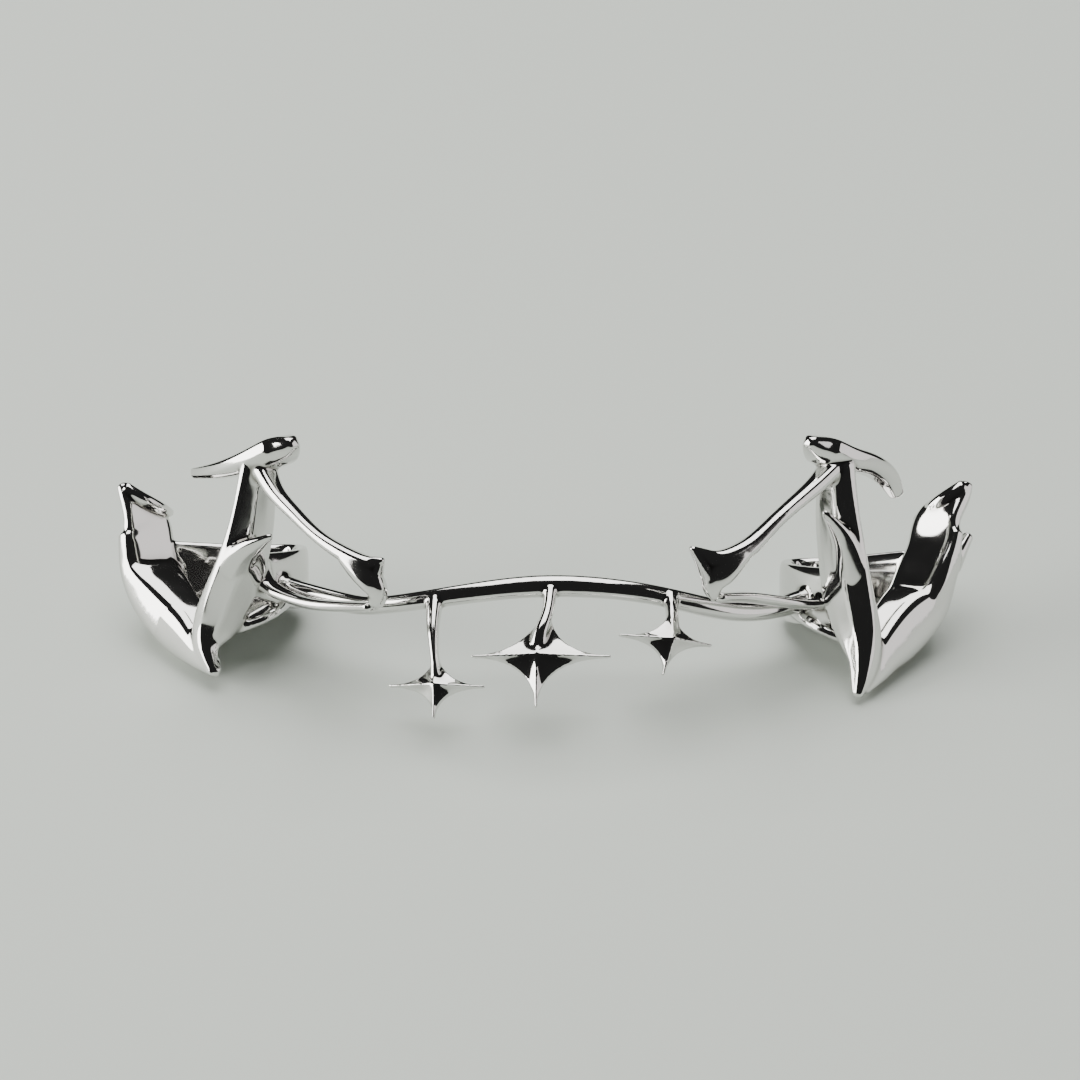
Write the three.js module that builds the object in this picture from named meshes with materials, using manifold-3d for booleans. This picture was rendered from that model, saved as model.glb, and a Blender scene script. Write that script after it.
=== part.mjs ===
// Grillz for the upper canines, cast in one piece: a thorned open frame for each canine, a diagonal bar
// over each lateral incisor, a bar behind the front teeth and three four-pointed stars hanging from it.
// Millimetres, +Z up. The worn frame has X to the viewer's right, Y into the mouth and Z above the biting
// edge.
import * as THREE from 'three';
import Module from 'manifold-3d';

// Dental arch: half an ellipse through the contact points of the teeth
const ARCH_HALF_WIDTH = 26;
const ARCH_DEPTH = 30;

// Facets of a swept section, the thinnest that a section may come out between two rows, and the share of a
// row over which the direction of a bar is taken
const SECTION_SIDES = 12;
const THINNEST = 0.15;
const TANGENT_REACH = 0.1;

// How far the casting leans from the worn pose when it lies on a table
const LEAN_BACK_DEG = 32.3;
const LEAN_SIDE_DEG = 0.85;

// Where a canine stands along the arch, which is the way that the arms of its frame face
const CANINE_ALONG = 19.5;

// The share of a section's depth over which a bevel runs
const BEVEL_SHARE = 0.3;

// Section shapes: squareness is the exponent of the rounded rectangle, flare the back width over the front
// width, crown how far the middle of the front stands out, bevel how far the wall that looks to the midline
// or down steps out behind the front, as a share of the depth, and spacing the distance between rings
const FRAME_SECTION = { facing: 'outward', squareness: 4, flare: 1.3, bevel: 0.15, spacing: 0.75 };
const ARM_SECTION = { facing: 'canine', squareness: 4, flare: 1.35, crown: 0.12, spacing: 0.75 };
const CROSSBAR_SECTION = { facing: 'outward', squareness: 4, flare: 1.3, bevel: 0.15, spacing: 0.55 };
const THORN_SECTION = { facing: 'outward', squareness: 3, flare: 1.3, bevel: 0.15, spacing: 0.5 };
const BAR_SECTION = { facing: 'outward', squareness: 2.8, flare: 1.1, spacing: 0.7 };
const STEM_SECTION = { facing: 'outward', squareness: 2.4, spacing: 0.6 };

// Tables of the bars. Each row is one section, in millimetres: along the arch from the midline, proud of
// the arch at the front face, height above the biting edge, width of the front face and depth behind it.
const LEFT_FRONT = {
  mesialBar: {
    section: FRAME_SECTION,
    rows: [
      [-16.2, 2.2, 7.5, 0.7, 2.0],
      [-16.6, 2.2, 5.9, 0.55, 2.4],
      [-17.1, 2.2, 4.1, 0.55, 2.8],
      [-17.9, 2.2, 2.1, 0.8, 3.0],
      [-18.9, 2.2, 0.3, 0.95, 3.0],
      [-19.7, 2.2, -1.4, 1.15, 2.4],
      [-19.75, 2.1, -2.8, 0.95, 1.2],
      [-19.0, 1.8, -4.15, 0.35, 0.45],
    ],
  },
  distalArm: {
    section: ARM_SECTION,
    rows: [
      [-25.5, 3.1, 6.2, 0.4, 0.5],
      [-25.35, 3.1, 5.6, 0.55, 0.9],
      [-25.15, 3.1, 4.8, 0.65, 2.0],
      [-25.05, 3.1, 3.9, 0.75, 3.0],
      [-25.05, 3.1, 2.9, 1.15, 3.2],
      [-25.05, 3.05, 1.8, 1.4, 3.2],
      [-24.75, 2.95, 0.95, 1.8, 3.2],
      [-24.05, 2.7, -0.1, 2.35, 2.9],
      [-22.8, 2.4, -1.25, 2.55, 2.4],
      [-21.75, 2.2, -2.05, 2.45, 1.9],
      [-20.7, 2.08, -2.8, 1.85, 1.4],
      [-19.7, 1.9, -3.55, 1.15, 1.0],
      [-18.85, 1.7, -4.2, 0.4, 0.4],
    ],
  },
  crossbar: {
    section: CROSSBAR_SECTION,
    rows: [
      [-20.9, 1.7, 6.7, 0.45, 0.6],
      [-18.5, 2.1, 6.9, 0.65, 1.1],
      [-16.4, 2.3, 7.4, 0.85, 1.7],
      [-15.1, 2.2, 7.9, 1.0, 2.2],
      [-14.2, 2.0, 8.1, 0.9, 1.5],
      [-13.6, 1.75, 8.35, 0.35, 0.6],
    ],
  },
  midThorn: {
    section: THORN_SECTION,
    rows: [
      [-18.7, 2.05, 0.5, 0.6, 1.8],
      [-18.1, 2.2, 1.6, 0.9, 2.0],
      [-17.2, 2.2, 2.4, 0.8, 1.6],
      [-16.1, 2.0, 2.9, 0.5, 1.1],
      [-15.0, 1.6, 3.3, 0.2, 0.3],
    ],
  },
  outerThorn: {
    section: THORN_SECTION,
    rows: [
      [-25.4, 3.1, 1.6, 0.8, 1.2],
      [-25.5, 3.15, 2.6, 0.5, 0.8],
      [-25.45, 3.2, 3.4, 0.2, 0.3],
    ],
  },
  diagonalBar: {
    section: BAR_SECTION,
    rows: [
      [-16.0, 2.0, 7.2, 1.0, 1.8],
      [-15.0, 1.85, 5.7, 0.8, 1.1],
      [-13.8, 1.75, 4.55, 0.65, 0.9],
      [-12.5, 1.65, 3.4, 0.6, 0.85],
      [-11.15, 1.6, 2.5, 0.75, 0.95],
      [-9.75, 1.6, 1.85, 0.85, 1.1],
      [-9.05, 1.5, 1.85, 0.65, 0.7],
      [-8.5, 1.4, 2.0, 0.25, 0.4],
    ],
  },
  tailThorn: {
    section: BAR_SECTION,
    rows: [
      [-10.9, 1.6, 2.35, 0.7, 0.9],
      [-9.8, 1.6, 1.4, 1.3, 1.0],
      [-9.1, 1.4, 0.5, 1.1, 1.0],
      [-9.2, 0.7, -0.4, 0.5, 0.9],
    ],
  },
  tailRim: {
    section: BAR_SECTION,
    rows: [
      [-8.7, 1.4, 2.0, 0.3, 0.5],
      [-8.95, 1.45, 1.3, 0.5, 0.8],
      [-9.2, 1.3, 0.6, 0.6, 0.9],
      [-9.4, 0.8, -0.35, 0.5, 0.9],
    ],
  },
  incisalBar: {
    section: BAR_SECTION,
    rows: [
      [-18.1, -0.2, 2.0, 0.8, 1.2],
      [-17.7, -0.4, 0.7, 0.7, 1.2],
      [-16.2, -0.6, 0.0, 0.6, 1.2],
      [-14.2, -0.6, -0.4, 0.6, 1.2],
      [-11.9, -0.2, -0.5, 0.6, 1.2],
      [-9.5, 0.8, -0.5, 0.5, 1.0],
    ],
  },
};

const RIGHT_FRONT = {
  mesialBar: {
    section: FRAME_SECTION,
    rows: [
      [15.8, 2.2, 7.4, 0.85, 2.0],
      [16.0, 2.2, 5.7, 0.75, 2.4],
      [16.3, 2.2, 4.0, 0.65, 2.8],
      [16.7, 2.2, 2.2, 0.7, 3.0],
      [17.2, 2.2, 0.0, 0.85, 3.0],
      [17.6, 2.2, -1.9, 1.1, 2.4],
      [17.5, 2.1, -3.4, 1.15, 1.4],
      [17.15, 1.95, -4.5, 0.75, 0.9],
      [16.8, 1.75, -5.4, 0.3, 0.4],
    ],
  },
  distalArm: {
    section: ARM_SECTION,
    rows: [
      [23.95, 3.3, 6.25, 0.55, 0.5],
      [23.65, 3.3, 5.4, 0.8, 1.0],
      [23.25, 3.3, 4.6, 0.85, 2.3],
      [23.0, 3.3, 3.8, 0.85, 3.1],
      [22.8, 3.3, 2.9, 1.0, 3.2],
      [22.6, 3.25, 1.9, 1.5, 3.2],
      [22.35, 3.05, 0.9, 1.8, 3.2],
      [21.95, 2.7, -0.4, 2.4, 2.9],
      [20.95, 2.4, -1.4, 2.75, 2.4],
      [19.9, 2.2, -2.3, 2.65, 2.0],
      [18.95, 2.07, -3.1, 2.15, 1.6],
      [18.2, 1.95, -3.95, 1.55, 1.2],
      [17.1, 1.75, -5.1, 0.5, 0.5],
    ],
  },
  crossbar: {
    section: CROSSBAR_SECTION,
    rows: [
      [13.6, 1.75, 8.4, 0.35, 0.6],
      [14.3, 2.0, 8.1, 0.9, 1.5],
      [15.2, 2.2, 7.9, 1.0, 2.2],
      [16.3, 2.3, 7.5, 0.95, 1.7],
      [17.7, 2.2, 7.2, 0.85, 1.3],
      [19.2, 2.0, 6.5, 0.75, 1.1],
      [20.1, 1.7, 5.4, 0.5, 0.6],
    ],
  },
  midThorn: {
    section: THORN_SECTION,
    rows: [
      [17.05, 2.05, 0.3, 0.6, 1.8],
      [16.8, 2.2, 1.4, 0.85, 2.0],
      [16.3, 2.2, 2.6, 0.8, 1.6],
      [15.6, 2.0, 3.6, 0.5, 1.1],
      [14.6, 1.6, 4.6, 0.2, 0.3],
    ],
  },
  outerThorn: {
    section: THORN_SECTION,
    rows: [
      [23.1, 3.15, 1.4, 0.8, 1.2],
      [23.75, 3.25, 2.5, 0.55, 0.8],
      [24.35, 3.3, 3.35, 0.35, 0.5],
    ],
  },
  diagonalBar: {
    section: BAR_SECTION,
    rows: [
      [15.6, 2.0, 7.1, 1.0, 1.8],
      [14.3, 1.85, 6.0, 0.85, 1.2],
      [12.85, 1.75, 4.9, 0.75, 1.0],
      [11.55, 1.65, 3.8, 0.75, 0.95],
      [10.35, 1.6, 2.7, 0.95, 1.05],
      [8.85, 1.6, 2.0, 1.05, 1.1],
      [7.85, 1.5, 2.2, 0.75, 0.7],
      [7.0, 1.4, 2.65, 0.25, 0.4],
    ],
  },
  tailThorn: {
    section: BAR_SECTION,
    rows: [
      [10.1, 1.6, 2.5, 0.9, 0.9],
      [8.95, 1.6, 1.6, 1.55, 1.0],
      [8.4, 1.4, 0.8, 1.2, 1.0],
      [8.5, 0.9, 0.0, 0.4, 0.8],
    ],
  },
  tailRim: {
    section: BAR_SECTION,
    rows: [
      [7.15, 1.4, 2.6, 0.3, 0.5],
      [7.65, 1.5, 1.8, 0.5, 0.8],
      [8.15, 1.35, 0.95, 0.6, 0.9],
      [8.6, 0.95, 0.05, 0.4, 0.8],
    ],
  },
  incisalBar: {
    section: BAR_SECTION,
    rows: [
      [17.7, -0.2, 1.1, 0.8, 1.2],
      [17.6, -0.4, 0.0, 0.7, 1.2],
      [15.9, -0.6, -0.4, 0.6, 1.2],
      [13.4, -0.6, -0.2, 0.6, 1.2],
      [11.1, -0.2, 0.0, 0.6, 1.2],
      [8.8, 0.8, 0.0, 0.5, 1.0],
    ],
  },
};

// Bands that stand on edge round a tooth. Each row: along and proud of the arch at the middle of the wall,
// height of its middle, how tall it is and how thick.
const BAND_SECTION = { facing: 'sideways', squareness: 4, spacing: 0.9 };
const LEFT_BAND = [
  [-18.2, -0.1, 1.2, 2.2, 0.8],
  [-18.8, -4.0, 0.9, 3.2, 0.8],
  [-21.1, -5.8, 1.3, 3.0, 0.8],
  [-23.6, -4.2, 1.2, 3.2, 0.8],
  [-25.3, 0.2, 1.2, 3.6, 0.8],
];
const RIGHT_BAND = [
  [17.0, -0.1, 0.0, 3.0, 0.8],
  [17.6, -4.0, 0.1, 3.2, 0.8],
  [19.6, -5.8, 0.5, 3.0, 0.8],
  [21.8, -4.2, 0.5, 3.2, 0.8],
  [23.0, 0.2, 0.7, 3.6, 0.8],
];
const LINGUAL_BAR_SECTION = { facing: 'sideways', squareness: 2.6, spacing: 1.2 };
const LINGUAL_BAR = [
  [-18.5, -2.6, 0.6, 1.2, 1.2],
  [-13.5, -2.9, -0.3, 1.1, 1.2],
  [-10, -2.6, -0.4, 1.0, 1.2],
  [-5, -2.6, 0.2, 1.1, 1.2],
  [0, -2.6, 0.6, 1.2, 1.2],
  [5, -2.6, 0.3, 1.1, 1.2],
  [9, -2.7, -0.4, 1.1, 1.2],
  [13, -2.9, -0.8, 1.1, 1.2],
  [17.4, -2.6, -0.1, 1.2, 1.2],
];

// Lying plates and ridges. Each row: along and proud of the arch, height of the middle, width along the
// arch and thickness. The rows of a floor lie on one line, so that its upper face is a flat seat for the
// cusp.
const FLOOR_SECTION = { facing: 'up', squareness: 4, spacing: 0.9 };
const BARB_SECTION = { facing: 'up', squareness: 2.4, spacing: 0.5 };
const LEFT_FLOOR = [
  [-21.2, 1.0, -2.3, 2.2, 0.8],
  [-21.2, -1.2, -1.3, 6.2, 0.8],
  [-21.2, -3.4, -0.3, 5.4, 0.8],
  [-21.2, -5.6, 0.7, 2.6, 0.8],
];
const RIGHT_FLOOR = [
  [19.6, 1.0, -2.9, 2.2, 0.8],
  [19.6, -1.2, -1.9, 5.4, 0.8],
  [19.6, -3.4, -0.9, 5.2, 0.8],
  [19.6, -5.6, 0.1, 2.4, 0.8],
];
const LEFT_BARB = [
  [-25.4, 2.95, 6.05, 0.6, 0.6],
  [-25.2, 1.9, 5.3, 1.2, 0.75],
  [-25.35, 0.8, 4.8, 1.15, 0.7],
  [-25.7, -0.2, 4.5, 0.45, 0.4],
];
const RIGHT_BARB = [
  [23.8, 3.15, 6.1, 0.7, 0.7],
  [23.5, 2.1, 5.25, 1.3, 0.95],
  [23.65, 1.0, 4.6, 1.15, 0.75],
  [23.95, -0.15, 4.1, 0.45, 0.4],
];

// Star drops: place of the star's middle, reach of its four arms, roll, how far the upper arm leans to the
// right and the lower arm to the left as shares of their length, and the rows of its stem
const STAR_HOLLOW = 3.8;
const STAR_STEPS_PER_ARM = 6;
const STAR_RIM = 0.24;
const STAR_FRONT = 0.6;
const STAR_BACK = 0.45;
const STAR_SHOULDER = 0.5;
const STAR_SUMMIT = 0.08;
const STAR_PITCH_DEG = 18;
const STARS = [
  {
    along: -6.4, proud: -1, height: -4.7, right: 2.6, up: 2.1, left: 2.6, down: 1.7,
    rollDeg: 0, upperLean: -0.1, lowerLean: 0,
    stem: [
      [-7.0, -2.0, 0.1, 0.95, 1.0],
      [-6.8, -1.2, -1.6, 0.65, 0.7],
      [-6.5, -0.7, -3.4, 0.42, 0.6],
      [-6.4, -0.7, -4.6, 0.9, 0.6],
    ],
  },
  {
    along: -0.8, proud: -1, height: -3.1, right: 3.9, up: 3.4, left: 3.4, down: 2.75,
    rollDeg: 0, upperLean: 0.22, lowerLean: 0,
    stem: [
      [0, -2.0, 0.6, 0.75, 1.0],
      [-0.2, -1.2, -0.8, 0.65, 0.8],
      [-0.6, -0.7, -1.9, 0.75, 0.7],
      [-0.8, -0.7, -3.0, 0.9, 0.6],
    ],
  },
  {
    along: 6.7, proud: -1, height: -2.3, right: 2.25, up: 2.1, left: 2.8, down: 1.9,
    rollDeg: 7, upperLean: 0, lowerLean: 0.2,
    stem: [
      [7.2, -2.0, 0.1, 0.8, 1.0],
      [7.0, -1.2, -0.9, 0.65, 0.7],
      [6.8, -0.7, -2.2, 0.9, 0.6],
    ],
  },
];

const SILVER = new THREE.MeshStandardMaterial({ color: 0xd8d6d0, roughness: 0.12, metalness: 1 });

const UP = new THREE.Vector3(0, 0, 1);
const arch = new THREE.EllipseCurve(0, ARCH_DEPTH, ARCH_HALF_WIDTH, ARCH_DEPTH, Math.PI, 2 * Math.PI);
const archLength = arch.getLength();
const wasm = await Module();
wasm.setup();

// The direction out of the mouth at a place along the arch
function outwardAt(along) {
  const tangent = arch.getTangentAt(0.5 + along / archLength);
  return new THREE.Vector3(tangent.y, -tangent.x, 0);
}

// A point of the worn frame from its place along the arch, its stand-off from the arch and its height
function place(along, proud, height) {
  const foot = arch.getPointAt(0.5 + along / archLength);
  return new THREE.Vector3(foot.x, foot.y, height).addScaledVector(outwardAt(along), proud);
}

function signedPower(value, exponent) {
  return Math.sign(value) * Math.abs(value) ** exponent;
}

// A closed geometry through rings of points that turn the same way, with a fan of triangles on each end
function loft(rings) {
  const sides = rings[0].length;
  const last = rings.length - 1;
  const middles = [rings[0], rings[last]].map((ring) =>
    ring.reduce((sum, point) => sum.add(point), new THREE.Vector3()).divideScalar(sides));
  const points = [...rings.flat(), ...middles];
  const firstMiddle = rings.length * sides;
  const index = [];
  for (let side = 0; side < sides; side++) {
    const next = (side + 1) % sides;
    for (let ring = 0; ring < last; ring++) {
      const low = ring * sides;
      const high = low + sides;
      index.push(low + side, low + next, high + next, low + side, high + next, high + side);
    }
    index.push(firstMiddle, next, side);
    index.push(firstMiddle + 1, last * sides + side, last * sides + next);
  }
  const geometry = new THREE.BufferGeometry().setFromPoints(points);
  geometry.setIndex(index);
  return geometry;
}

// The ways that a section faces: out of the mouth at its own place or at the canine's, straight up, or level
// and square to its path
const FACING = {
  outward: (along) => outwardAt(along),
  canine: (along) => outwardAt(Math.sign(along) * CANINE_ALONG),
  up: () => UP.clone(),
  sideways: (along, tangent) => tangent.clone().cross(UP),
};

// A bar swept through the sections of its table. Its section is a rounded rectangle that widens towards the
// back. A section that faces out of the mouth is placed by its front, any other by its middle.
function sweep(rows, { facing, squareness, flare = 1, crown = 0, bevel = 0, spacing }) {
  const placedByFront = facing === 'outward' || facing === 'canine';
  const table = new THREE.CubicInterpolant(rows.map((row, index) => index), rows.flat(), rows[0].length);
  const sectionAt = (position) => {
    const [along, proud, height, width, depth] = table.evaluate(position);
    const centre = place(along, proud, height);
    if (placedByFront) {
      centre.addScaledVector(FACING[facing](along), -depth / 2);
    }
    return { along, centre, width: Math.max(width, THINNEST), depth: Math.max(depth, THINNEST) };
  };
  const end = rows.length - 1;
  const centres = rows.map((row, index) => sectionAt(index).centre);
  const length = new THREE.CatmullRomCurve3(centres).getLength();
  const steps = Math.max(end, Math.round(length / spacing));
  const rings = [];
  for (let step = 0; step <= steps; step++) {
    const position = (end * step) / steps;
    const { along, centre, width, depth } = sectionAt(position);
    const ahead = sectionAt(Math.min(position + TANGENT_REACH, end)).centre;
    const behind = sectionAt(Math.max(position - TANGENT_REACH, 0)).centre;
    const tangent = ahead.sub(behind).normalize();
    const front = FACING[facing](along, tangent);
    front.addScaledVector(tangent, -front.dot(tangent)).normalize();
    const side = front.clone().cross(tangent);
    // Which side looks to the midline, or down where the bar runs level
    const bevelled = Math.sign(-2 * Math.sign(along) * side.x - side.z);
    const ring = [];
    for (let corner = 0; corner < SECTION_SIDES; corner++) {
      const angle = (2 * Math.PI * (corner + 0.5)) / SECTION_SIDES;
      const across = signedPower(Math.cos(angle), 2 / squareness);
      const forward = signedPower(Math.sin(angle), 2 / squareness);
      const back = (1 - forward) / 2;
      const spread = (1 + (flare - 1) * back) * width / 2;
      const step = across * bevelled > 0 ? bevel * depth * Math.min(1, back / BEVEL_SHARE) : 0;
      const rise = forward > 0 ? crown * (1 - across ** 2) : 0;
      ring.push(centre.clone()
        .addScaledVector(side, across * (spread + step))
        .addScaledVector(front, forward * depth / 2 + rise));
    }
    rings.push(ring);
  }
  return loft(rings);
}

// A four-pointed star with hollow sides, ridged along its arms in front and flatter behind. It faces a little
// upwards.
function star({ along, proud, height, right, up, left, down, rollDeg, upperLean, lowerLean }) {
  const middle = place(along, proud, height);
  const outward = outwardAt(along);
  const level = UP.clone().cross(outward);
  const pitch = new THREE.Quaternion().setFromAxisAngle(level, -THREE.MathUtils.degToRad(STAR_PITCH_DEG));
  const front = outward.applyQuaternion(pitch);
  const roll = new THREE.Quaternion().setFromAxisAngle(front, -THREE.MathUtils.degToRad(rollDeg));
  const across = level.applyQuaternion(roll);
  const upward = UP.clone().applyQuaternion(pitch).applyQuaternion(roll);
  const layer = (scale, forward) => {
    const ring = [];
    for (let corner = 0; corner < 4 * STAR_STEPS_PER_ARM; corner++) {
      const angle = (Math.PI / 2) * (corner / STAR_STEPS_PER_ARM);
      const x = signedPower(Math.cos(angle), STAR_HOLLOW);
      const z = signedPower(Math.sin(angle), STAR_HOLLOW);
      const reach = x * (x > 0 ? right : left);
      const rise = z * (z > 0 ? up : down);
      const lean = rise * (z > 0 ? upperLean : lowerLean);
      ring.push(middle.clone()
        .addScaledVector(across, scale * (reach + lean))
        .addScaledVector(upward, scale * rise)
        .addScaledVector(front, forward));
    }
    return ring;
  };
  return loft([
    layer(STAR_SUMMIT, -STAR_BACK),
    layer(STAR_SHOULDER, -(STAR_BACK + STAR_RIM / 2) / 2),
    layer(1, -STAR_RIM / 2),
    layer(1, STAR_RIM / 2),
    layer(STAR_SHOULDER, (STAR_FRONT + STAR_RIM / 2) / 2),
    layer(STAR_SUMMIT, STAR_FRONT),
  ]);
}

function solidOf(geometry) {
  return new wasm.Manifold(new wasm.Mesh({
    numProp: 3,
    vertProperties: Float32Array.from(geometry.getAttribute('position').array),
    triVerts: Uint32Array.from(geometry.getIndex().array),
  }));
}

// One casting: every bar, band, floor and star fused
function casting() {
  const frontBars = [...Object.values(LEFT_FRONT), ...Object.values(RIGHT_FRONT)];
  const pieces = [
    ...frontBars.map((bar) => sweep(bar.rows, bar.section)),
    ...[LEFT_BAND, RIGHT_BAND].map((rows) => sweep(rows, BAND_SECTION)),
    sweep(LINGUAL_BAR, LINGUAL_BAR_SECTION),
    ...[LEFT_FLOOR, RIGHT_FLOOR].map((rows) => sweep(rows, FLOOR_SECTION)),
    ...[LEFT_BARB, RIGHT_BARB].map((rows) => sweep(rows, BARB_SECTION)),
    ...STARS.map((drop) => sweep(drop.stem, STEM_SECTION)),
    ...STARS.map(star),
  ];
  const fused = pieces.map(solidOf).reduce((whole, piece) => whole.add(piece)).getMesh();
  const geometry = new THREE.BufferGeometry();
  geometry.setAttribute('position', new THREE.BufferAttribute(fused.vertProperties, 3));
  geometry.setIndex(new THREE.BufferAttribute(fused.triVerts, 1));
  geometry.computeVertexNormals();
  return geometry;
}

const grillz = new THREE.Mesh(casting(), SILVER);
grillz.name = 'grillz_casting';

// Lay the casting as it rests by itself, with the origin under the middle of its box
const lean = new THREE.Group();
lean.rotation.set(
  THREE.MathUtils.degToRad(-LEAN_BACK_DEG),
  THREE.MathUtils.degToRad(LEAN_SIDE_DEG),
  0,
);
lean.add(grillz);
const part = new THREE.Group();
part.add(lean);
const box = new THREE.Box3().setFromObject(part, true);
const middle = box.getCenter(new THREE.Vector3());
lean.position.set(-middle.x, -middle.y, -box.min.z);

export default part;
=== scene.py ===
import math
from collections import namedtuple

import bpy
import numpy as np
from mathutils import Euler, Matrix, Vector


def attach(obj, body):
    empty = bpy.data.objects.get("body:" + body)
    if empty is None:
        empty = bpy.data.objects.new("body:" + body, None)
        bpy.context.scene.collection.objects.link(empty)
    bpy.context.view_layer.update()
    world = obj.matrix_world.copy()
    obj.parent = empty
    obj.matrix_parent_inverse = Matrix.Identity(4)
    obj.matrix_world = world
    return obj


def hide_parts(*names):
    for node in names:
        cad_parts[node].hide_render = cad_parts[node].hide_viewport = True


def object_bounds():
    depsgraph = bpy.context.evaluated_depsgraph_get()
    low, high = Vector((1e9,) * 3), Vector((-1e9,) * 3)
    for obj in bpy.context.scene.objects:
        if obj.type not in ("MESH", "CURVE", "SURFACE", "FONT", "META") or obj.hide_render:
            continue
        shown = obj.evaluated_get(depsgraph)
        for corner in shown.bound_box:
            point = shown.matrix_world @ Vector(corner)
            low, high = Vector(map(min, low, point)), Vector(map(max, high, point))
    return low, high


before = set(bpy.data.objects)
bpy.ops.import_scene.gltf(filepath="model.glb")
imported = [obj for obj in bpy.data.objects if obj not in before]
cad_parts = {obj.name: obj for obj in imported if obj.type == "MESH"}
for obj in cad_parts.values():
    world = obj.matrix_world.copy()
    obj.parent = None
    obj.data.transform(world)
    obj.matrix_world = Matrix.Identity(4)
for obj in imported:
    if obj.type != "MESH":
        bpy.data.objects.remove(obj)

CAD_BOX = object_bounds()
MM = 0.001

# How the casting leans from the worn pose, and where the worn frame's origin lies, in millimetres
LEAN_BACK_DEG = 32.3
LEAN_SIDE_DEG = 0.85
WORN_ORIGIN_MM = (0.2547, -5.2399, 7.6722)

# The camera stands level in the worn frame, in front of the teeth
CAMERA_WORN_MM = (-0.58, -220, 3.04)
LENS_MM = 140
SENSOR_MM = 36
NEAREST_SEEN = 0.01
FARTHEST_SEEN = 20

# Dental arch: half an ellipse through the contact points of the teeth, in millimetres
ARCH_HALF_WIDTH = 26
ARCH_DEPTH = 30
ARCH_STEPS = 4000
CANINE_ALONG = 19.5

# Rings of a bar: how many sides, how far apart in millimetres, how long its rounded ends are and how far
# into the rounding they begin, how finely a row is measured, the share of a row over which its direction is
# taken, its thinnest section, and the share of its depth over which a bevel runs
RING_SIDES = 48
RING_SPACING = 0.1
END_ROUNDING = 0.2
END_START = 0.01
STEPS_TO_MEASURE_A_ROW = 20
TANGENT_REACH = 0.1
THINNEST = 0.15
BEVEL_SHARE = 0.3

# Surface of the casting, in millimetres where it is a length
VOXEL = 0.055
FAIRING_SHRINK = 0.5
FAIRING_SWELL = -0.53
FIRST_FAIRING_ROUNDS = 5
LAST_FAIRING_ROUNDS = 4
FILLET_ROUNDS = 60
FILLET_STEP = 0.5
# CREVICE_DEPTH is the fill at which the painted shade in the crevices is at its darkest
CREVICE_DEPTH = 0.06
MOST_TRIANGLES = 190_000

# Colours and finish. The silver's gloss and faint waves vary over the given scales per metre, in noise of the
# given detail.
SILVER = (0.74, 0.735, 0.72)
# Painted shade: a dark colour mixed into the silver in the filled inner corners, where shade would fall
CREVICE_PAINTED_SHADE = (0.25, 0.24, 0.22)
GLOSS_SCALE = 700
GLOSS_DETAIL = 4
SMOOTHEST = 0.04
ROUGHEST = 0.12
WAVE_SCALE = 600
WAVE_DETAIL = 2
WAVE_DEPTH = 0.00005
WAVE_STRENGTH = 0.1
FLOOR_COLOUR = (0.66, 0.71, 0.66)
FLOOR_ROUGHNESS = 0.6

# Softboxes in the part's frame: name, middle in metres, width, height, brightness and tint
SOFTBOXES = (
    ("softbox_top", (0.0, 0.136, 0.418), 0.4, 0.57, 4.0, (1.0, 0.99, 0.97)),
    ("softbox_left", (-0.41, -0.05, 0.13), 0.36, 0.27, 8.0, (1.0, 0.985, 0.95)),
    ("softbox_right", (0.41, -0.05, 0.13), 0.36, 0.27, 1.3, (1.0, 0.96, 0.95)),
)
WORLD_BRIGHTNESS = 0.02
FLOOR_HALF_WIDTH = 5.0

# Sections of the bars: the way they face, squareness as the exponent of the rounded rectangle, flare as the
# back width over the front width, crown as how far the front swells, in millimetres, skew as how much of that
# leans away from the midline, and bevel as how far the wall that looks to the midline or down steps out
# behind the front, as a share of the depth
Section = namedtuple("Section", "facing squareness flare crown skew bevel", defaults=(1, 0, 0, 0))
FRAME_SECTION = Section("outward", 4, 1.3, crown=0.04, bevel=0.15)
ARM_SECTION = Section("canine", 4, 1.35, crown=0.12, skew=0.5)
CROSSBAR_SECTION = Section("outward", 4, 1.3, bevel=0.15)
THORN_SECTION = Section("outward", 3, 1.3, bevel=0.15)
BAR_SECTION = Section("outward", 2.8, 1.1)
STEM_SECTION = Section("outward", 2.4)
BAND_SECTION = Section("sideways", 4)
LINGUAL_BAR_SECTION = Section("sideways", 2.6)
FLOOR_SECTION = Section("up", 4)
BARB_SECTION = Section("up", 2.4)
PLACED_BY_FRONT = ("outward", "canine")

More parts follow.
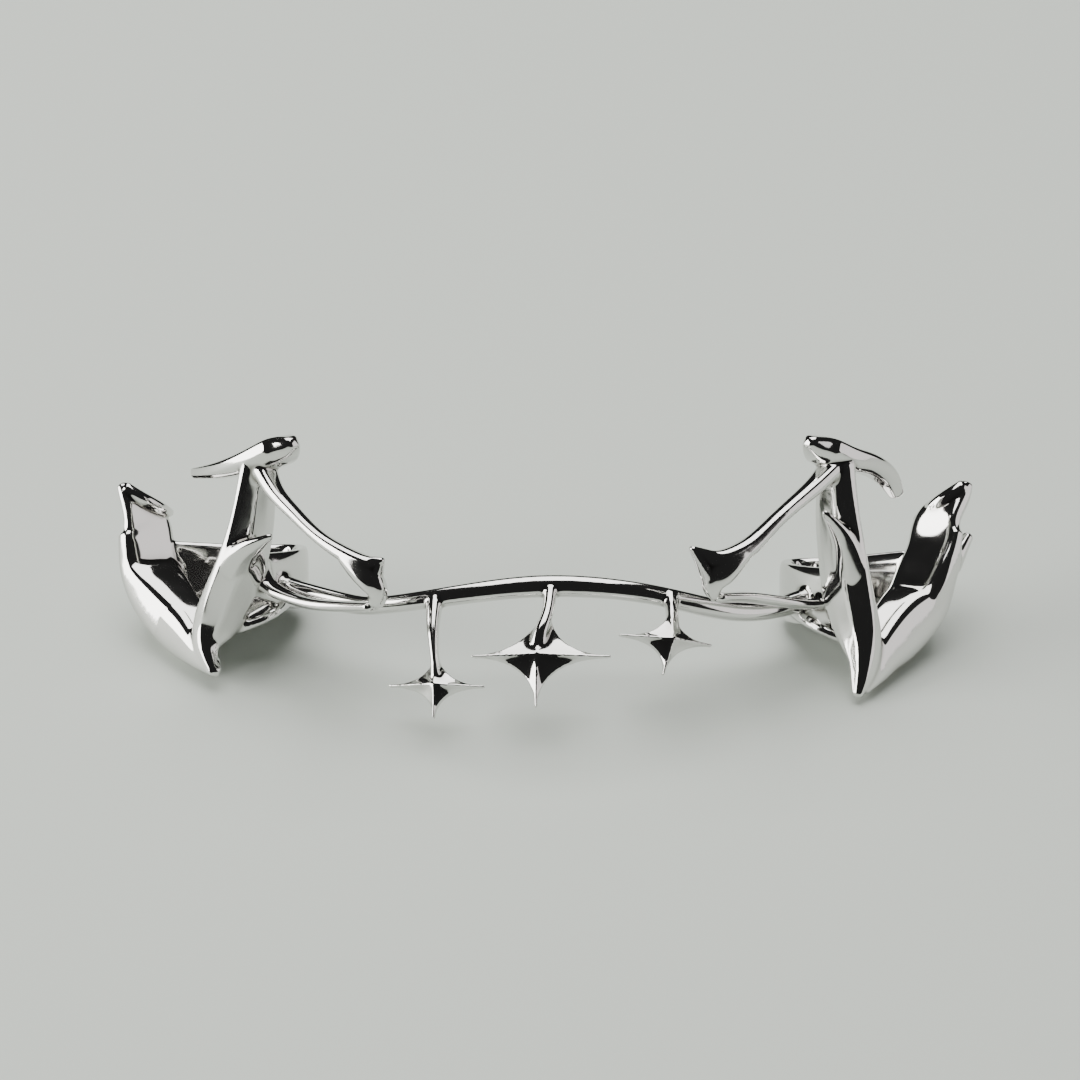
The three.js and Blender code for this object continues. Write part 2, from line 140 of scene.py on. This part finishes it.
# Tables of the bars, as in the part's source. Each row is one section, in millimetres: along the arch from
# the midline, proud of the arch, height above the biting edge, width and depth.
LEFT_FRONT = {
    "mesial_bar": (FRAME_SECTION, (
        (-16.2, 2.2, 7.5, 0.7, 2.0),
        (-16.6, 2.2, 5.9, 0.55, 2.4),
        (-17.1, 2.2, 4.1, 0.55, 2.8),
        (-17.9, 2.2, 2.1, 0.8, 3.0),
        (-18.9, 2.2, 0.3, 0.95, 3.0),
        (-19.7, 2.2, -1.4, 1.15, 2.4),
        (-19.75, 2.1, -2.8, 0.95, 1.2),
        (-19.0, 1.8, -4.15, 0.35, 0.45),
    )),
    "distal_arm": (ARM_SECTION, (
        (-25.5, 3.1, 6.2, 0.4, 0.5),
        (-25.35, 3.1, 5.6, 0.55, 0.9),
        (-25.15, 3.1, 4.8, 0.65, 2.0),
        (-25.05, 3.1, 3.9, 0.75, 3.0),
        (-25.05, 3.1, 2.9, 1.15, 3.2),
        (-25.05, 3.05, 1.8, 1.4, 3.2),
        (-24.75, 2.95, 0.95, 1.8, 3.2),
        (-24.05, 2.7, -0.1, 2.35, 2.9),
        (-22.8, 2.4, -1.25, 2.55, 2.4),
        (-21.75, 2.2, -2.05, 2.45, 1.9),
        (-20.7, 2.08, -2.8, 1.85, 1.4),
        (-19.7, 1.9, -3.55, 1.15, 1.0),
        (-18.85, 1.7, -4.2, 0.4, 0.4),
    )),
    "crossbar": (CROSSBAR_SECTION, (
        (-20.9, 1.7, 6.7, 0.45, 0.6),
        (-18.5, 2.1, 6.9, 0.65, 1.1),
        (-16.4, 2.3, 7.4, 0.85, 1.7),
        (-15.1, 2.2, 7.9, 1.0, 2.2),
        (-14.2, 2.0, 8.1, 0.9, 1.5),
        (-13.6, 1.75, 8.35, 0.35, 0.6),
    )),
    "mid_thorn": (THORN_SECTION, (
        (-18.7, 2.05, 0.5, 0.6, 1.8),
        (-18.1, 2.2, 1.6, 0.9, 2.0),
        (-17.2, 2.2, 2.4, 0.8, 1.6),
        (-16.1, 2.0, 2.9, 0.5, 1.1),
        (-15.0, 1.6, 3.3, 0.2, 0.3),
    )),
    "outer_thorn": (THORN_SECTION, (
        (-25.4, 3.1, 1.6, 0.8, 1.2),
        (-25.5, 3.15, 2.6, 0.5, 0.8),
        (-25.45, 3.2, 3.4, 0.2, 0.3),
    )),
    "diagonal_bar": (BAR_SECTION, (
        (-16.0, 2.0, 7.2, 1.0, 1.8),
        (-15.0, 1.85, 5.7, 0.8, 1.1),
        (-13.8, 1.75, 4.55, 0.65, 0.9),
        (-12.5, 1.65, 3.4, 0.6, 0.85),
        (-11.15, 1.6, 2.5, 0.75, 0.95),
        (-9.75, 1.6, 1.85, 0.85, 1.1),
        (-9.05, 1.5, 1.85, 0.65, 0.7),
        (-8.5, 1.4, 2.0, 0.25, 0.4),
    )),
    "tail_thorn": (BAR_SECTION, (
        (-10.9, 1.6, 2.35, 0.7, 0.9),
        (-9.8, 1.6, 1.4, 1.3, 1.0),
        (-9.1, 1.4, 0.5, 1.1, 1.0),
        (-9.2, 0.7, -0.4, 0.5, 0.9),
    )),
    "tail_rim": (BAR_SECTION, (
        (-8.7, 1.4, 2.0, 0.3, 0.5),
        (-8.95, 1.45, 1.3, 0.5, 0.8),
        (-9.2, 1.3, 0.6, 0.6, 0.9),
        (-9.4, 0.8, -0.35, 0.5, 0.9),
    )),
    "incisal_bar": (BAR_SECTION, (
        (-18.1, -0.2, 2.0, 0.8, 1.2),
        (-17.7, -0.4, 0.7, 0.7, 1.2),
        (-16.2, -0.6, 0.0, 0.6, 1.2),
        (-14.2, -0.6, -0.4, 0.6, 1.2),
        (-11.9, -0.2, -0.5, 0.6, 1.2),
        (-9.5, 0.8, -0.5, 0.5, 1.0),
    )),
}
RIGHT_FRONT = {
    "mesial_bar": (FRAME_SECTION, (
        (15.8, 2.2, 7.4, 0.85, 2.0),
        (16.0, 2.2, 5.7, 0.75, 2.4),
        (16.3, 2.2, 4.0, 0.65, 2.8),
        (16.7, 2.2, 2.2, 0.7, 3.0),
        (17.2, 2.2, 0.0, 0.85, 3.0),
        (17.6, 2.2, -1.9, 1.1, 2.4),
        (17.5, 2.1, -3.4, 1.15, 1.4),
        (17.15, 1.95, -4.5, 0.75, 0.9),
        (16.8, 1.75, -5.4, 0.3, 0.4),
    )),
    "distal_arm": (ARM_SECTION, (
        (23.95, 3.3, 6.25, 0.55, 0.5),
        (23.65, 3.3, 5.4, 0.8, 1.0),
        (23.25, 3.3, 4.6, 0.85, 2.3),
        (23.0, 3.3, 3.8, 0.85, 3.1),
        (22.8, 3.3, 2.9, 1.0, 3.2),
        (22.6, 3.25, 1.9, 1.5, 3.2),
        (22.35, 3.05, 0.9, 1.8, 3.2),
        (21.95, 2.7, -0.4, 2.4, 2.9),
        (20.95, 2.4, -1.4, 2.75, 2.4),
        (19.9, 2.2, -2.3, 2.65, 2.0),
        (18.95, 2.07, -3.1, 2.15, 1.6),
        (18.2, 1.95, -3.95, 1.55, 1.2),
        (17.1, 1.75, -5.1, 0.5, 0.5),
    )),
    "crossbar": (CROSSBAR_SECTION, (
        (13.6, 1.75, 8.4, 0.35, 0.6),
        (14.3, 2.0, 8.1, 0.9, 1.5),
        (15.2, 2.2, 7.9, 1.0, 2.2),
        (16.3, 2.3, 7.5, 0.95, 1.7),
        (17.7, 2.2, 7.2, 0.85, 1.3),
        (19.2, 2.0, 6.5, 0.75, 1.1),
        (20.1, 1.7, 5.4, 0.5, 0.6),
    )),
    "mid_thorn": (THORN_SECTION, (
        (17.05, 2.05, 0.3, 0.6, 1.8),
        (16.8, 2.2, 1.4, 0.85, 2.0),
        (16.3, 2.2, 2.6, 0.8, 1.6),
        (15.6, 2.0, 3.6, 0.5, 1.1),
        (14.6, 1.6, 4.6, 0.2, 0.3),
    )),
    "outer_thorn": (THORN_SECTION, (
        (23.1, 3.15, 1.4, 0.8, 1.2),
        (23.75, 3.25, 2.5, 0.55, 0.8),
        (24.35, 3.3, 3.35, 0.35, 0.5),
    )),
    "diagonal_bar": (BAR_SECTION, (
        (15.6, 2.0, 7.1, 1.0, 1.8),
        (14.3, 1.85, 6.0, 0.85, 1.2),
        (12.85, 1.75, 4.9, 0.75, 1.0),
        (11.55, 1.65, 3.8, 0.75, 0.95),
        (10.35, 1.6, 2.7, 0.95, 1.05),
        (8.85, 1.6, 2.0, 1.05, 1.1),
        (7.85, 1.5, 2.2, 0.75, 0.7),
        (7.0, 1.4, 2.65, 0.25, 0.4),
    )),
    "tail_thorn": (BAR_SECTION, (
        (10.1, 1.6, 2.5, 0.9, 0.9),
        (8.95, 1.6, 1.6, 1.55, 1.0),
        (8.4, 1.4, 0.8, 1.2, 1.0),
        (8.5, 0.9, 0.0, 0.4, 0.8),
    )),
    "tail_rim": (BAR_SECTION, (
        (7.15, 1.4, 2.6, 0.3, 0.5),
        (7.65, 1.5, 1.8, 0.5, 0.8),
        (8.15, 1.35, 0.95, 0.6, 0.9),
        (8.6, 0.95, 0.05, 0.4, 0.8),
    )),
    "incisal_bar": (BAR_SECTION, (
        (17.7, -0.2, 1.1, 0.8, 1.2),
        (17.6, -0.4, 0.0, 0.7, 1.2),
        (15.9, -0.6, -0.4, 0.6, 1.2),
        (13.4, -0.6, -0.2, 0.6, 1.2),
        (11.1, -0.2, 0.0, 0.6, 1.2),
        (8.8, 0.8, 0.0, 0.5, 1.0),
    )),
}
LEFT_BAND = (
    (-18.2, -0.1, 1.2, 2.2, 0.8),
    (-18.8, -4.0, 0.9, 3.2, 0.8),
    (-21.1, -5.8, 1.3, 3.0, 0.8),
    (-23.6, -4.2, 1.2, 3.2, 0.8),
    (-25.3, 0.2, 1.2, 3.6, 0.8),
)
RIGHT_BAND = (
    (17.0, -0.1, 0.0, 3.0, 0.8),
    (17.6, -4.0, 0.1, 3.2, 0.8),
    (19.6, -5.8, 0.5, 3.0, 0.8),
    (21.8, -4.2, 0.5, 3.2, 0.8),
    (23.0, 0.2, 0.7, 3.6, 0.8),
)
LINGUAL_BAR = (
    (-18.5, -2.6, 0.6, 1.2, 1.2),
    (-13.5, -2.9, -0.3, 1.1, 1.2),
    (-10, -2.6, -0.4, 1.0, 1.2),
    (-5, -2.6, 0.2, 1.1, 1.2),
    (0, -2.6, 0.6, 1.2, 1.2),
    (5, -2.6, 0.3, 1.1, 1.2),
    (9, -2.7, -0.4, 1.1, 1.2),
    (13, -2.9, -0.8, 1.1, 1.2),
    (17.4, -2.6, -0.1, 1.2, 1.2),
)
LEFT_FLOOR = (
    (-21.2, 1.0, -2.3, 2.2, 0.8),
    (-21.2, -1.2, -1.3, 6.2, 0.8),
    (-21.2, -3.4, -0.3, 5.4, 0.8),
    (-21.2, -5.6, 0.7, 2.6, 0.8),
)
RIGHT_FLOOR = (
    (19.6, 1.0, -2.9, 2.2, 0.8),
    (19.6, -1.2, -1.9, 5.4, 0.8),
    (19.6, -3.4, -0.9, 5.2, 0.8),
    (19.6, -5.6, 0.1, 2.4, 0.8),
)
LEFT_BARB = (
    (-25.4, 2.95, 6.05, 0.6, 0.6),
    (-25.2, 1.9, 5.3, 1.2, 0.75),
    (-25.35, 0.8, 4.8, 1.15, 0.7),
    (-25.7, -0.2, 4.5, 0.45, 0.4),
)
RIGHT_BARB = (
    (23.8, 3.15, 6.1, 0.7, 0.7),
    (23.5, 2.1, 5.25, 1.3, 0.95),
    (23.65, 1.0, 4.6, 1.15, 0.75),
    (23.95, -0.15, 4.1, 0.45, 0.4),
)

# Stars, as in the part's source: place of the middle, reach of the arms, roll, lean of the upper and lower
# arm, stem. The rim is the thickness at the arms' edges, and the needle is what an arm keeps of its width at
# its tip.
STAR_HOLLOW = 3.8
STAR_STEPS_PER_ARM = 40
STAR_RIM = 0.24
STAR_FRONT = 0.6
STAR_BACK = 0.45
STAR_SHOULDER = 0.5
STAR_SUMMIT = 0.08
STAR_NEEDLE = 0.06
STAR_LAYERS = 12
STAR_PITCH_DEG = 18
Star = namedtuple("Star", "along proud height right up left down roll_deg upper_lean lower_lean stem")
STARS = (
    Star(-6.4, -1, -4.7, 2.6, 2.1, 2.6, 1.7, 0, -0.1, 0, (
        (-7.0, -2.0, 0.1, 0.95, 1.0),
        (-6.8, -1.2, -1.6, 0.65, 0.7),
        (-6.5, -0.7, -3.4, 0.42, 0.6),
        (-6.4, -0.7, -4.6, 0.9, 0.6),
    )),
    Star(-0.8, -1, -3.1, 3.9, 3.4, 3.4, 2.75, 0, 0.22, 0, (
        (0, -2.0, 0.6, 0.75, 1.0),
        (-0.2, -1.2, -0.8, 0.65, 0.8),
        (-0.6, -0.7, -1.9, 0.75, 0.7),
        (-0.8, -0.7, -3.0, 0.9, 0.6),
    )),
    Star(6.7, -1, -2.3, 2.25, 2.1, 2.8, 1.9, 7, 0, 0.2, (
        (7.2, -2.0, 0.1, 0.8, 1.0),
        (7.0, -1.2, -0.9, 0.65, 0.7),
        (6.8, -0.7, -2.2, 0.9, 0.6),
    )),
)

UP = np.array((0.0, 0.0, 1.0))


def worn_to_part():
    """The placement of the worn frame, in metres, in the part's frame."""
    lean = Euler((math.radians(-LEAN_BACK_DEG), 0, 0)).to_matrix()
    side = Euler((0, math.radians(LEAN_SIDE_DEG), 0)).to_matrix()
    turn = (lean @ side).to_4x4()
    return Matrix.Translation(Vector(WORN_ORIGIN_MM) * MM) @ turn


def link(obj):
    bpy.context.scene.collection.objects.link(obj)
    return obj


def make_camera():
    data = bpy.data.cameras.new("camera")
    data.lens = LENS_MM
    data.sensor_width = SENSOR_MM
    data.clip_start = NEAREST_SEEN
    data.clip_end = FARTHEST_SEEN
    camera = link(bpy.data.objects.new("camera", data))
    level = Euler((math.radians(90), 0, 0)).to_matrix().to_4x4()
    camera.matrix_world = worn_to_part() @ Matrix.Translation(Vector(CAMERA_WORN_MM) * MM) @ level
    bpy.context.scene.camera = camera


def unit(vectors):
    return vectors / np.linalg.norm(vectors, axis=-1, keepdims=True)


def signed_power(values, exponent):
    return np.sign(values) * np.abs(values) ** exponent


class Arch:
    """The arch by distance along it from the midline, in millimetres."""

    turns = np.linspace(math.pi, 2 * math.pi, ARCH_STEPS)
    steps = np.hypot(np.diff(ARCH_HALF_WIDTH * np.cos(turns)), np.diff(ARCH_DEPTH * np.sin(turns)))
    distances = np.concatenate(([0], np.cumsum(steps))) - np.sum(steps) / 2

    @classmethod
    def outward(cls, along):
        turn = np.interp(along, cls.distances, cls.turns)
        return unit(np.stack((ARCH_DEPTH * np.cos(turn), ARCH_HALF_WIDTH * np.sin(turn), 0 * turn), -1))

    @classmethod
    def place(cls, along, proud, height):
        turn = np.interp(along, cls.distances, cls.turns)
        foot = (ARCH_HALF_WIDTH * np.cos(turn), ARCH_DEPTH * (1 + np.sin(turn)), height)
        return np.stack(foot, -1) + cls.outward(along) * np.asarray(proud)[..., None]


def rows_at(rows, positions):
    """Smooth rows between those of a table, at positions counted in rows."""
    rows = np.asarray(rows, float)
    last = len(rows) - 1
    system = np.eye(len(rows))
    turns = np.zeros_like(rows)
    for row in range(1, last):
        system[row, row - 1:row + 2] = (1, 4, 1)
        turns[row] = rows[row - 1] - 2 * rows[row] + rows[row + 1]
    bends = np.linalg.solve(system, turns)
    first = np.minimum(positions.astype(int), last - 1)
    share = (positions - first)[:, None]
    rest = 1 - share
    straight = rest * rows[first] + share * rows[first + 1]
    return straight + (rest ** 3 - rest) * bends[first] + (share ** 3 - share) * bends[first + 1]


def front_of(section, along):
    """The way out of the mouth that a section faces: at its own place, or at the canine's."""
    if section.facing == "canine":
        along = np.sign(along) * CANINE_ALONG
    return Arch.outward(along)


def sections_at(rows, section, positions):
    """Along, centre, width and depth of a bar's sections."""
    along, proud, height, width, depth = rows_at(rows, positions).T
    width = np.maximum(width, THINNEST)
    depth = np.maximum(depth, THINNEST)
    centre = Arch.place(along, proud, height)
    if section.facing in PLACED_BY_FRONT:
        centre -= front_of(section, along) * depth[:, None] / 2
    return along, centre, width, depth


def sweep(rows, section):
    """The rings of a bar swept through the rows of its table, with rounded ends."""
    end = len(rows) - 1
    coarse = sections_at(rows, section, np.linspace(0, end, STEPS_TO_MEASURE_A_ROW * end))[1]
    length = np.linalg.norm(np.diff(coarse, axis=0), axis=1).sum()
    positions = np.linspace(0, end, max(2, round(length / RING_SPACING)))
    along, centre, width, depth = sections_at(rows, section, positions)
    ahead = sections_at(rows, section, np.minimum(positions + TANGENT_REACH, end))[1]
    behind = sections_at(rows, section, np.maximum(positions - TANGENT_REACH, 0))[1]
    tangent = unit(ahead - behind)
    if section.facing == "up":
        front = np.broadcast_to(UP, tangent.shape)
    elif section.facing == "sideways":
        front = np.cross(tangent, UP)
    else:
        front = front_of(section, along)
    front = unit(front - tangent * np.sum(front * tangent, 1, keepdims=True))
    side = np.cross(front, tangent)
    # Which side looks to the midline, or down where the bar runs level
    bevelled = np.sign(-2 * np.sign(along) * side[:, 0] - side[:, 2])

    angles = 2 * math.pi * (np.arange(RING_SIDES) + 0.5) / RING_SIDES
    across = signed_power(np.cos(angles), 2 / section.squareness)
    forward = signed_power(np.sin(angles), 2 / section.squareness)
    back = (1 - forward) / 2
    spread = width[:, None] / 2 * (1 + (section.flare - 1) * back)
    inward = bevelled[:, None] * across
    bevel = section.bevel * depth[:, None] * np.minimum(1, back / BEVEL_SHARE) * (inward > 0)
    crown = section.crown * (forward > 0) * (1 - across ** 2) * (1 - section.skew * inward)

    travelled = np.concatenate(([0], np.cumsum(np.linalg.norm(np.diff(centre, axis=0), axis=1))))
    from_end = np.minimum(travelled, travelled[-1] - travelled)
    ends = np.sqrt(1 - np.maximum(1 - (from_end + END_START) / END_ROUNDING, 0) ** 2)
    sideways = ends[:, None] * across * (spread + bevel)
    outwards = ends[:, None] * ((depth / 2)[:, None] * forward + crown)
    return centre[:, None] + sideways[..., None] * side[:, None] + outwards[..., None] * front[:, None]


def star_rings(star):
    """The rings of a four-pointed star with hollow sides, ridged along its arms and facing a little up."""
    middle = Arch.place(star.along, star.proud, star.height)
    outward = Arch.outward(star.along)
    level = np.cross(UP, outward)
    pitch = math.radians(STAR_PITCH_DEG)
    front = outward * math.cos(pitch) + UP * math.sin(pitch)
    top = UP * math.cos(pitch) - outward * math.sin(pitch)
    roll = math.radians(star.roll_deg)
    across = level * math.cos(roll) - top * math.sin(roll)
    upward = top * math.cos(roll) + level * math.sin(roll)
    angles = math.pi / 2 * np.arange(4 * STAR_STEPS_PER_ARM) / STAR_STEPS_PER_ARM
    x = signed_power(np.cos(angles), STAR_HOLLOW)
    z = signed_power(np.sin(angles), STAR_HOLLOW)
    rise = z * np.where(z > 0, star.up, star.down)
    lean = rise * np.where(z > 0, star.upper_lean, star.lower_lean)
    reach = x * np.where(x > 0, star.right, star.left) + lean
    outline = np.stack((reach, rise), 1)
    slant = unit(np.roll(outline, -1, 0) - np.roll(outline, 1, 0))
    outline += STAR_NEEDLE * np.stack((slant[:, 1], -slant[:, 0]), 1)

    shares = np.linspace(0, 2, 2 * STAR_LAYERS + 1)
    scales = np.interp(shares, (0, 1, 2), (STAR_SUMMIT, STAR_SHOULDER, 1))
    drops = np.interp(shares, (0, 2), (1, 0))
    fronts = STAR_RIM / 2 + drops * (STAR_FRONT - STAR_RIM / 2)
    backs = -STAR_RIM / 2 - drops * (STAR_BACK - STAR_RIM / 2)
    scales = np.concatenate((scales, scales[::-1]))
    depths = np.concatenate((backs, fronts[::-1]))
    flat = outline[:, :1] * across + outline[:, 1:] * upward
    return middle + scales[:, None, None] * flat + depths[:, None, None] * front


def all_rings():
    """Every bar, band, floor and star of the casting."""
    bars = [*LEFT_FRONT.values(), *RIGHT_FRONT.values()]
    rings = [sweep(rows, section) for section, rows in bars]
    rings += [sweep(rows, BAND_SECTION) for rows in (LEFT_BAND, RIGHT_BAND)]
    rings.append(sweep(LINGUAL_BAR, LINGUAL_BAR_SECTION))
    rings += [sweep(rows, FLOOR_SECTION) for rows in (LEFT_FLOOR, RIGHT_FLOOR)]
    rings += [sweep(rows, BARB_SECTION) for rows in (LEFT_BARB, RIGHT_BARB)]
    rings += [sweep(star.stem, STEM_SECTION) for star in STARS]
    rings += [star_rings(star) for star in STARS]
    return rings


def loft(name, all_bodies):
    """One mesh of closed skins, each through rings of points that turn the same way."""
    points = []
    faces = []
    start = 0
    for rings in all_bodies:
        count, sides = rings.shape[:2]
        index = start + np.arange(count * sides).reshape(count, sides)
        turned = np.roll(index, -1, 1)
        quads = np.stack((index[:-1], turned[:-1], turned[1:], index[1:]), -1)
        faces += quads.reshape(-1, 4).tolist()
        faces.append(index[0, ::-1].tolist())
        faces.append(index[-1].tolist())
        points.append(rings.reshape(-1, 3))
        start += count * sides
    mesh = bpy.data.meshes.new(name)
    mesh.from_pydata(np.concatenate(points), [], faces)
    return mesh


def applied(obj):
    """The mesh of an object with its modifiers applied, in place of its old mesh."""
    depsgraph = bpy.context.evaluated_depsgraph_get()
    obj.data = bpy.data.meshes.new_from_object(obj.evaluated_get(depsgraph))
    obj.modifiers.clear()


def points_of(mesh):
    points = np.empty(len(mesh.vertices) * 3)
    mesh.vertices.foreach_get("co", points)
    return points.reshape(-1, 3)


def normals_of(mesh, points):
    mesh.vertices.foreach_set("co", points.ravel())
    mesh.update()
    normals = np.empty(len(mesh.vertices) * 3)
    mesh.vertices.foreach_get("normal", normals)
    return normals.reshape(-1, 3)


class Neighbours:
    """Means over the neighbours of each vertex of a mesh."""

    def __init__(self, mesh):
        edges = np.empty(len(mesh.edges) * 2, np.int32)
        mesh.edges.foreach_get("vertices", edges)
        first, second = edges.reshape(-1, 2).T
        self.here = np.concatenate((first, second))
        self.there = np.concatenate((second, first))
        self.count = np.bincount(self.here, minlength=len(mesh.vertices))

    def mean(self, values):
        columns = [
            np.bincount(self.here, column[self.there], len(self.count)) / self.count
            for column in values.T
        ]
        return np.stack(columns, 1)


def fair(points, near, rounds):
    """Smooths away the marks of the voxels without shrinking the form."""
    for _ in range(rounds):
        for step in (FAIRING_SHRINK, FAIRING_SWELL):
            points += step * (near.mean(points) - points)


def polish(mesh):
    """Fairs the surface and rounds its inner corners. Returns how far each vertex was filled."""
    near = Neighbours(mesh)
    points = points_of(mesh)
    fair(points, near, FIRST_FAIRING_ROUNDS)
    filled = np.zeros(len(points))
    for _ in range(FILLET_ROUNDS):
        normals = normals_of(mesh, points)
        sag = np.einsum("ij,ij->i", near.mean(points) - points, normals)
        lift = FILLET_STEP * np.maximum(sag, 0)
        points += lift[:, None] * normals
        filled += lift
    fair(points, near, LAST_FAIRING_ROUNDS)
    mesh.vertices.foreach_set("co", points.ravel())
    mesh.update()
    return filled


def keep_in_box(mesh):
    """Moves what stands out of the box of the part's solid back onto it."""
    low, high = np.array(CAD_BOX)
    mesh.vertices.foreach_set("co", np.clip(points_of(mesh), low, high).ravel())


def make_casting():
    piece = link(bpy.data.objects.new("grillz_casting_polished", loft("casting", all_rings())))
    remesh = piece.modifiers.new("fuse", "REMESH")
    remesh.mode = "VOXEL"
    remesh.voxel_size = VOXEL
    applied(piece)
    filled = polish(piece.data)
    # Painted shade: how far the fillets filled each vertex sets how much of the dark crevice colour the
    # silver gets
    crevice = piece.data.attributes.new("crevice", "FLOAT", "POINT")
    crevice.data.foreach_set("value", np.clip(filled / CREVICE_DEPTH, 0, 1).astype(np.float32))
    piece.data.transform(worn_to_part() @ Matrix.Scale(MM, 4))
    piece.data.shade_smooth()
    dense = link(bpy.data.objects.new("dense", piece.data.copy()))
    piece.data.calc_loop_triangles()
    thin = piece.modifiers.new("thin", "DECIMATE")
    thin.ratio = min(1, MOST_TRIANGLES / len(piece.data.loop_triangles))
    applied(piece)
    keep_in_box(piece.data)
    keep = piece.modifiers.new("keep_normals", "DATA_TRANSFER")
    keep.object = dense
    keep.use_loop_data = True
    keep.data_types_loops = {"CUSTOM_NORMAL"}
    keep.loop_mapping = "POLYINTERP_NEAREST"
    applied(piece)
    bpy.data.objects.remove(dense)
    piece.data.materials.append(make_silver())
    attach(piece, "root")
    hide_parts("grillz_casting")


def new_material(name):
    material = bpy.data.materials.new(name)
    material.use_nodes = True
    return material, material.node_tree.nodes["Principled BSDF"]


def make_silver():
    material, shader = new_material("polished_silver")
    nodes = material.node_tree.nodes
    links = material.node_tree.links
    shader.inputs["Metallic"].default_value = 1
    place = nodes.new("ShaderNodeTexCoord").outputs["Object"]
    crevice = nodes.new("ShaderNodeAttribute")
    crevice.attribute_name = "crevice"

    # Painted shade: the silver is mixed towards the dark crevice colour in the filled inner corners
    tint = nodes.new("ShaderNodeMix")
    tint.data_type = "RGBA"
    tint.inputs["A"].default_value = (*SILVER, 1)
    tint.inputs["B"].default_value = (*CREVICE_PAINTED_SHADE, 1)
    links.new(crevice.outputs["Fac"], tint.inputs["Factor"])
    links.new(tint.outputs["Result"], shader.inputs["Base Color"])

    cloud = nodes.new("ShaderNodeTexNoise")
    cloud.inputs["Scale"].default_value = GLOSS_SCALE
    cloud.inputs["Detail"].default_value = GLOSS_DETAIL
    links.new(place, cloud.inputs["Vector"])
    gloss = nodes.new("ShaderNodeMapRange")
    gloss.inputs["To Min"].default_value = SMOOTHEST
    gloss.inputs["To Max"].default_value = ROUGHEST
    links.new(cloud.outputs["Fac"], gloss.inputs["Value"])
    links.new(gloss.outputs["Result"], shader.inputs["Roughness"])

    wave = nodes.new("ShaderNodeTexNoise")
    wave.inputs["Scale"].default_value = WAVE_SCALE
    wave.inputs["Detail"].default_value = WAVE_DETAIL
    links.new(place, wave.inputs["Vector"])
    bump = nodes.new("ShaderNodeBump")
    bump.inputs["Strength"].default_value = WAVE_STRENGTH
    bump.inputs["Distance"].default_value = WAVE_DEPTH
    links.new(wave.outputs["Fac"], bump.inputs["Height"])
    links.new(bump.outputs["Normal"], shader.inputs["Normal"])
    return material


def make_floor():
    side = FLOOR_HALF_WIDTH
    corners = [(-side, -side, 0), (side, -side, 0), (side, side, 0), (-side, side, 0)]
    mesh = bpy.data.meshes.new("floor")
    mesh.from_pydata(corners, [], [(0, 1, 2, 3)])
    floor = link(bpy.data.objects.new("floor", mesh))
    material, shader = new_material("pale_floor")
    shader.inputs["Base Color"].default_value = (*FLOOR_COLOUR, 1)
    shader.inputs["Roughness"].default_value = FLOOR_ROUGHNESS
    mesh.materials.append(material)


def make_lights():
    for name, middle, width, height, brightness, tint in SOFTBOXES:
        data = bpy.data.lights.new(name, "AREA")
        data.shape = "RECTANGLE"
        data.size = width
        data.size_y = height
        data.energy = brightness * math.pi * width * height
        data.color = tint
        lamp = link(bpy.data.objects.new(name, data))
        lamp.location = middle
        lamp.rotation_euler = Vector(middle).to_track_quat("Z", "Y").to_euler()
    world = bpy.data.worlds.new("studio")
    bpy.context.scene.world = world
    world.use_nodes = True
    background = world.node_tree.nodes["Background"]
    background.inputs["Color"].default_value = (1, 1, 1, 1)
    background.inputs["Strength"].default_value = WORLD_BRIGHTNESS


make_camera()
make_casting()
make_floor()
make_lights()
